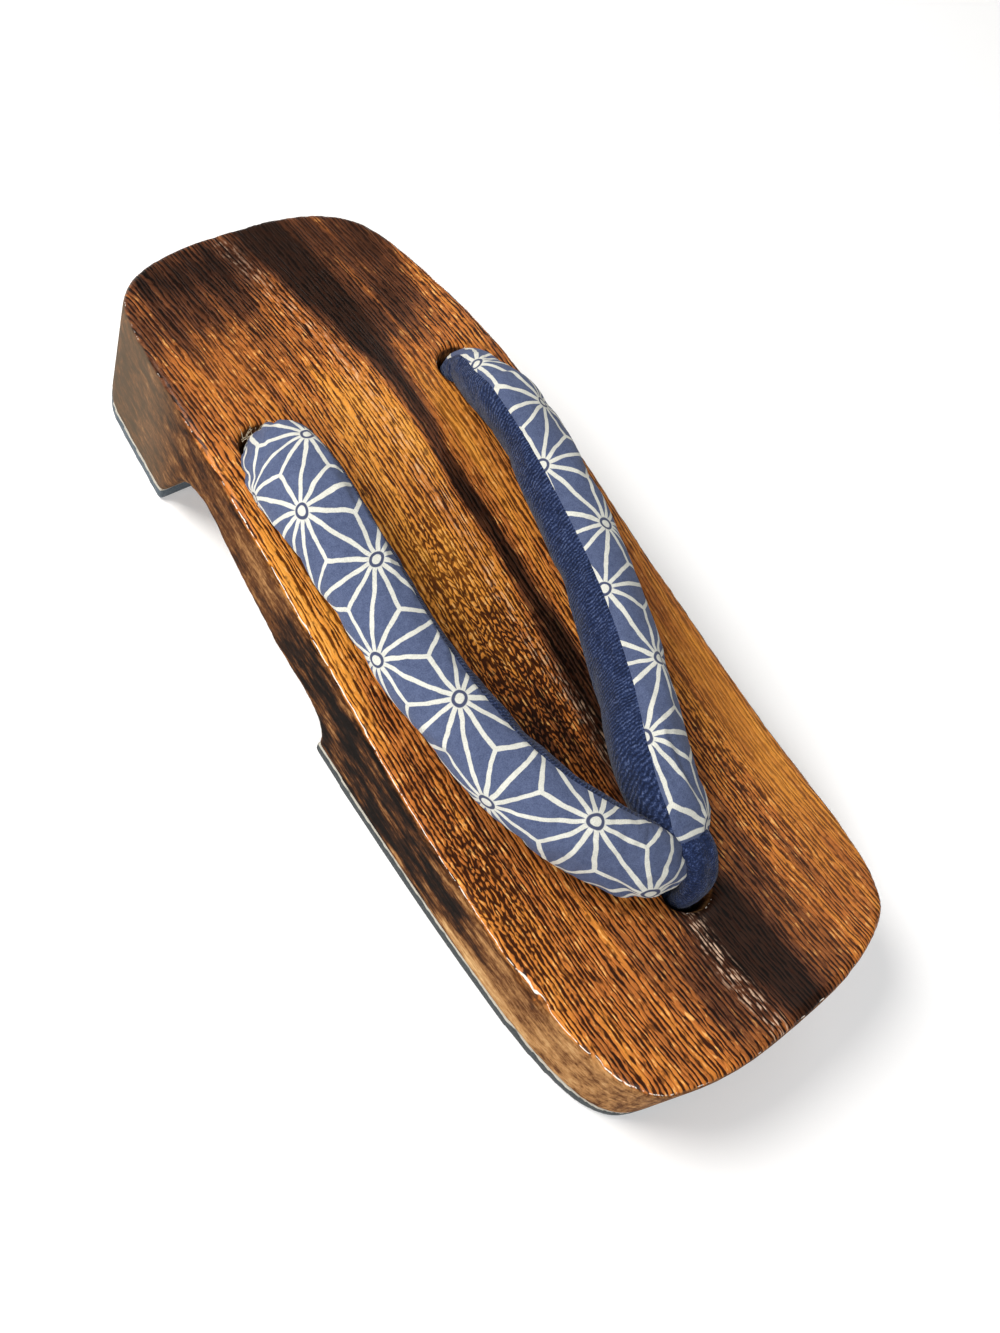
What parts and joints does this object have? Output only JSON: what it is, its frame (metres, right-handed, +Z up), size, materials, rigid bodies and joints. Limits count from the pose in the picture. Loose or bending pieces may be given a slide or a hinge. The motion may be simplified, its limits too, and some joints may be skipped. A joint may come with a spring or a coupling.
{
  "type": "geta sandal",
  "caption": "Wooden geta with a one-piece board cut into a heel block and a forefoot block, rubber pads below, and a padded thong strap held by a toe loop.",
  "frame": {"origin": "on the floor, under the middle of the board's outline", "axes": "+Y from toe to heel along the board, +Z up, +X to the right seen from above with the heel away"},
  "size_m": [0.0974, 0.25, 0.0653],
  "materials": {
    "wood": "scorched and brushed grain under worn clear lacquer",
    "heel_rubber": "matte, dusty",
    "forefoot_rubber": "matte, dusty",
    "strap_cloth": "printed cotton outside, ribbed velvet lining",
    "velvet": "short pile"
  },
  "bodies": {
    "root": {"wooden_base": "wood", "heel_sole": "heel_rubber", "forefoot_sole": "forefoot_rubber", "strap": "strap_cloth", "toe_loop": "velvet"}
  },
  "joints": []
}
